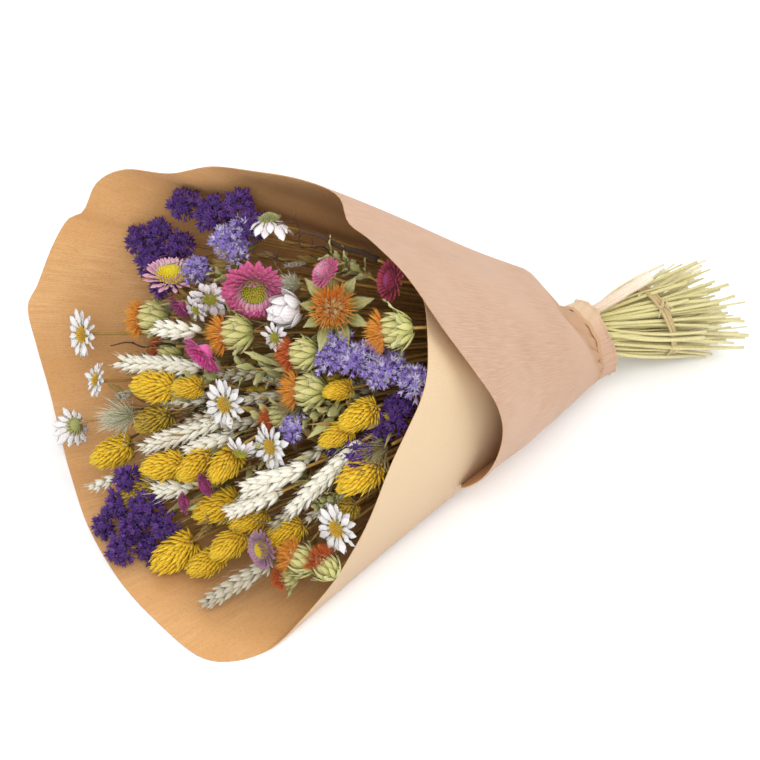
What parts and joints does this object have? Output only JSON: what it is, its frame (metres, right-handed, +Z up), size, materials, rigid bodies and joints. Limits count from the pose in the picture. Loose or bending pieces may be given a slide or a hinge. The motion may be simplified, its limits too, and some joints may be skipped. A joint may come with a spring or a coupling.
{
  "type": "dried mixed flower bouquet",
  "caption": "A hand-tied bouquet of dried field flowers and grasses in a cone of kraft paper, lying with its mouth open and its cut stems fanned out behind a raffia tie.",
  "frame": {"origin": "under the middle of the whole bouquet, on the surface it lies on", "axes": "+X along the bouquet from the open mouth towards the cut stems, +Z up, +Y to the far side of the mouth"},
  "size_m": [0.491, 0.3068, 0.204],
  "materials": {
    "kraft_paper": "matt ribbed kraft paper, beige outside and tan inside",
    "raffia": "dull fibrous raffia",
    "dry_stems": "dried straw-green stems, faintly ribbed",
    "cut_branch": "peeled pale branch with a cut end",
    "twig_bark": "thin dark bark",
    "dry_leaves": "dried grey-green leaves",
    "canary_scales": "matt dyed yellow scales",
    "wheat_chaff": "bleached papery chaff",
    "safflower_heads": "orange florets on matt green bracts",
    "statice_dark": "papery dark purple calyces",
    "statice_violet": "papery blue-violet calyces",
    "cream_plume": "feathery cream plume",
    "white_petals": "papery white petals round a yellow disc",
    "strawflower_bracts": "stiff glossy bracts in pinks and maroon"
  },
  "bodies": {
    "root": {"canary_bottom": "canary_scales", "canary_left": "canary_scales", "canary_low": "canary_scales", "canary_near": "canary_scales", "canary_right": "canary_scales", "canary_trio": "canary_scales", "canary_upper_left": "canary_scales", "daisy_centre": "white_petals", "daisy_far_left": "white_petals", "daisy_left": "white_petals", "daisy_low": "white_petals", "daisy_middle": "white_petals", "daisy_turned": "white_petals", "foliage": "dry_leaves", "paper_band": "kraft_paper", "paper_wrap": "kraft_paper", "plume_cream": "cream_plume", "raffia_tie": "raffia", "rhodanthe": "white_petals", "safflower_centre": "safflower_heads", "safflower_front": "safflower_heads", "safflower_left": "safflower_heads", "safflower_low": "safflower_heads", "safflower_middle": "safflower_heads", "safflower_red": "safflower_heads", "safflower_right": "safflower_heads", "safflower_small": "safflower_heads", "statice_dark_edge": "statice_dark", "statice_dark_left": "statice_dark", "statice_dark_low": "statice_dark", "statice_dark_near": "statice_dark", "statice_dark_top": "statice_dark", "statice_violet_near": "statice_violet", "statice_violet_star": "statice_violet", "statice_violet_top": "statice_violet", "stems": "dry_stems", "strawflower_crimson": "strawflower_bracts", "strawflower_fuchsia": "strawflower_bracts", "strawflower_maroon": "strawflower_bracts", "strawflower_mauve": "strawflower_bracts", "strawflower_pale": "strawflower_bracts", "strawflower_pink": "strawflower_bracts", "strawflower_plum": "strawflower_bracts", "strawflower_small": "strawflower_bracts", "strawflower_white": "white_petals", "thick_branch": "cut_branch", "twig_curly": "twig_bark", "twig_thick": "twig_bark", "wheat_back": "wheat_chaff", "wheat_bottom": "wheat_chaff", "wheat_broad": "wheat_chaff", "wheat_drooping": "wheat_chaff", "wheat_edge": "wheat_chaff", "wheat_left": "wheat_chaff", "wheat_middle": "wheat_chaff", "wheat_right": "wheat_chaff", "wheat_upper": "wheat_chaff", "white_drooping": "white_petals", "white_papery": "white_petals", "white_small": "white_petals"}
  },
  "joints": []
}
